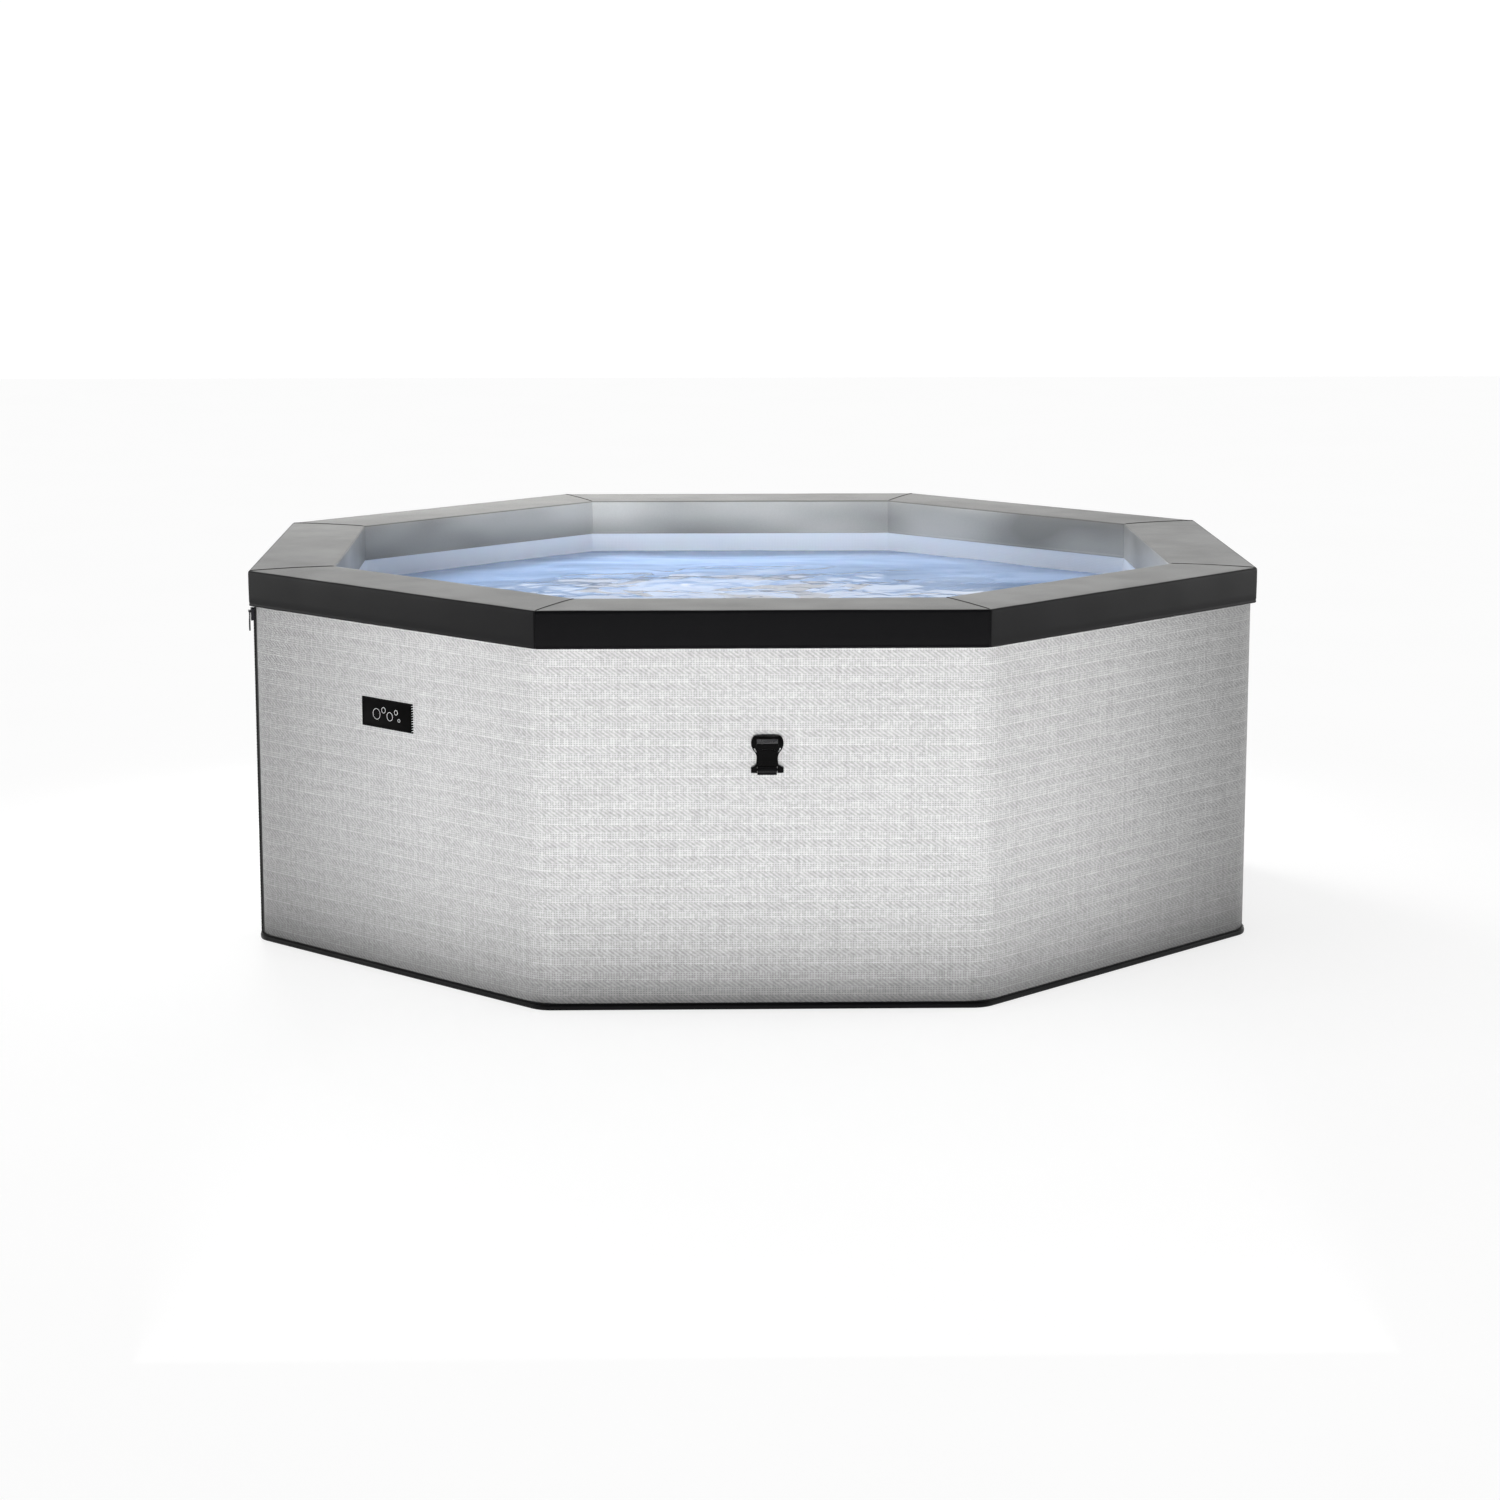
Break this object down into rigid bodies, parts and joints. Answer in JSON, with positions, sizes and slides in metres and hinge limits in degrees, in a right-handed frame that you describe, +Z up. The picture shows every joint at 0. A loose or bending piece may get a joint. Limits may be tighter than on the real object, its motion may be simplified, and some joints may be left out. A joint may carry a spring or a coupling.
{
  "type": "portable hot tub",
  "caption": "Portable octagonal hot tub: foam walls in a woven zipped skirt, padded rim, pool liner with filter and air ring, lid buckles, and a pump and heater bay behind a hinged rear door.",
  "frame": {"origin": "centre of the footprint, on the floor", "axes": "+Z up, the front with its lid buckle and zip corner faces -Y, the equipment door faces +Y"},
  "size_m": [1.8684, 1.8684, 0.691],
  "materials": {
    "foam_board": "matte",
    "rim_cover": "satin",
    "buckle_plastic": "satin",
    "button_rubber": "matte",
    "base_mat": "matte",
    "woven_skirt": "matte",
    "liner_pvc": "satin",
    "zip_tape": "matte",
    "zip_metal": "satin",
    "label": "matte",
    "webbing": "matte",
    "pool_plastic": "satin",
    "filter_paper": "matte",
    "bay_plastic": "matte",
    "air_channel": "satin",
    "jet_caps": "matte",
    "drain_plastic": "matte",
    "washer_rubber": "matte",
    "tray_plastic": "matte",
    "door_plastic": "matte",
    "steel_pins": "satin",
    "magnet": "matte",
    "strike_steel": "satin",
    "panel_plastic": "gloss",
    "display_glass": "gloss",
    "gland_plastic": "matte",
    "pump_metal": "satin",
    "pump_plastic": "matte",
    "impeller_plastic": "matte",
    "heater_steel": "satin",
    "hose_rubber": "matte"
  },
  "bodies": {
    "tub": {"air_inlet_duct": "pool_plastic", "air_jets": "jet_caps", "air_ring": "air_channel", "base_mat": "base_mat", "bay_hoses": "hose_rubber", "blower_housing": "pump_plastic", "buckle_webbing": "webbing", "control_box": "pump_plastic", "door_hinge_pins": "steel_pins", "door_magnet": "magnet", "drain_fitting": "drain_plastic", "equipment_tray": "tray_plastic", "filter_mount": "pool_plastic", "heater_tube": "heater_steel", "label_patch": "label", "outer_skirt": "woven_skirt", "pool_liner": "liner_pvc", "power_gland": "gland_plastic", "pump_cover": "pump_plastic", "pump_housing": "pump_metal", "return_flange": "pool_plastic", "rim_cap_back": "rim_cover", "rim_cap_back_left": "rim_cover", "rim_cap_back_right": "rim_cover", "rim_cap_front": "rim_cover", "rim_cap_front_left": "rim_cover", "rim_cap_front_right": "rim_cover", "rim_cap_left": "rim_cover", "rim_cap_right": "rim_cover", "wall_board_back": "foam_board", "wall_board_back_left": "foam_board", "wall_board_back_right": "foam_board", "wall_board_front": "foam_board", "wall_board_front_left": "foam_board", "wall_board_front_right": "foam_board", "wall_board_left": "foam_board", "wall_board_right": "foam_board", "wall_nuts": "bay_plastic", "zip_tape": "zip_tape"},
    "zip_slider": {"zip_slider": "zip_metal"},
    "zip_pull": {"zip_pull": "zip_metal"},
    "filter_unit": {"filter_cartridge": "filter_paper", "filter_cover": "pool_plastic"},
    "eyeball": {"return_eyeball": "pool_plastic"},
    "drain_seal": {"drain_washer": "washer_rubber"},
    "drain_cap": {"drain_cap": "drain_plastic"},
    "door": {"service_door": "door_plastic", "control_panel": "panel_plastic", "display_lens": "display_glass", "door_strike": "strike_steel"},
    "impeller": {"pump_impeller": "impeller_plastic"},
    "fan": {"blower_fan": "impeller_plastic"},
    "button_power": {"button_power": "button_rubber"},
    "button_heat": {"button_heat": "button_rubber"},
    "button_bubbles": {"button_bubbles": "button_rubber"},
    "button_filter": {"button_filter": "button_rubber"},
    "buckle_front": {"buckle_socket_front": "buckle_plastic"},
    "buckle_right": {"buckle_socket_right": "buckle_plastic"},
    "buckle_back": {"buckle_socket_back": "buckle_plastic"},
    "buckle_left": {"buckle_socket_left": "buckle_plastic"}
  },
  "joints": [
    {"name": "zip_slide", "type": "slide", "parent": "tub", "child": "zip_slider", "axis": [0, 0, 1], "range_m": [-0.55, 0]},
    {"name": "zip_pull_swing", "type": "hinge", "parent": "zip_slider", "child": "zip_pull", "pos_m": [-0.92556, -0.36656, 0.614], "axis": [-0.2334, 0.9724, 0], "range_deg": [0, 150]},
    {"name": "buckle_front_swing", "type": "hinge", "parent": "tub", "child": "buckle_front", "pos_m": [0.0075, -0.926, 0.419], "axis": [1, 0, 0], "range_deg": [0, 100]},
    {"name": "buckle_right_swing", "type": "hinge", "parent": "tub", "child": "buckle_right", "pos_m": [0.926, 0.0075, 0.419], "axis": [0, 1, 0], "range_deg": [0, 100]},
    {"name": "buckle_back_swing", "type": "hinge", "parent": "tub", "child": "buckle_back", "pos_m": [-0.0075, 0.926, 0.419], "axis": [-1, 0, 0], "range_deg": [0, 100]},
    {"name": "buckle_left_swing", "type": "hinge", "parent": "tub", "child": "buckle_left", "pos_m": [-0.926, -0.0075, 0.419], "axis": [0, -1, 0], "range_deg": [0, 100]},
    {"name": "filter_pull", "type": "slide", "parent": "tub", "child": "filter_unit", "axis": [0, -1, 0], "range_m": [0, 0.13]},
    {"name": "eyeball_swivel", "type": "hinge", "parent": "tub", "child": "eyeball", "pos_m": [0.21, 0.774, 0.33], "axis": [0, 0, 1], "range_deg": [-20, 20]},
    {"name": "drain_cap_turn", "type": "hinge", "parent": "drain_seal", "child": "drain_cap", "pos_m": [0.65761, 0.65761, 0.062], "axis": [0.7071, 0.7071, 0], "range_deg": [0, 1440]},
    {"name": "drain_cap_travel", "type": "slide", "parent": "tub", "child": "drain_seal", "axis": [0.7071, 0.7071, 0], "range_m": [0, 0.0161]},
    {"name": "door_swing", "type": "hinge", "parent": "tub", "child": "door", "pos_m": [-0.249, 0.9274, 0.2275], "axis": [0, 0, 1], "range_deg": [0, 105]},
    {"name": "button_power_press", "type": "slide", "parent": "door", "child": "button_power", "axis": [0, -1, 0], "range_m": [0, 0.0015], "stiffness_N_per_m": 400, "springref_m": -0.0005},
    {"name": "button_heat_press", "type": "slide", "parent": "door", "child": "button_heat", "axis": [0, -1, 0], "range_m": [0, 0.0015], "stiffness_N_per_m": 400, "springref_m": -0.0005},
    {"name": "button_bubbles_press", "type": "slide", "parent": "door", "child": "button_bubbles", "axis": [0, -1, 0], "range_m": [0, 0.0015], "stiffness_N_per_m": 400, "springref_m": -0.0005},
    {"name": "button_filter_press", "type": "slide", "parent": "door", "child": "button_filter", "axis": [0, -1, 0], "range_m": [0, 0.0015], "stiffness_N_per_m": 400, "springref_m": -0.0005},
    {"name": "impeller_spin", "type": "hinge", "parent": "tub", "child": "impeller", "pos_m": [-0.1, 0.866, 0.11], "axis": [1, 0, 0], "continuous": true},
    {"name": "fan_spin", "type": "hinge", "parent": "tub", "child": "fan", "pos_m": [0.15, 0.86, 0.185], "axis": [0, 1, 0], "continuous": true}
  ],
  "couplings": [
    {"joint": "drain_cap_travel", "follows": "drain_cap_turn", "m_per_rad": 0.00063662}
  ]
}
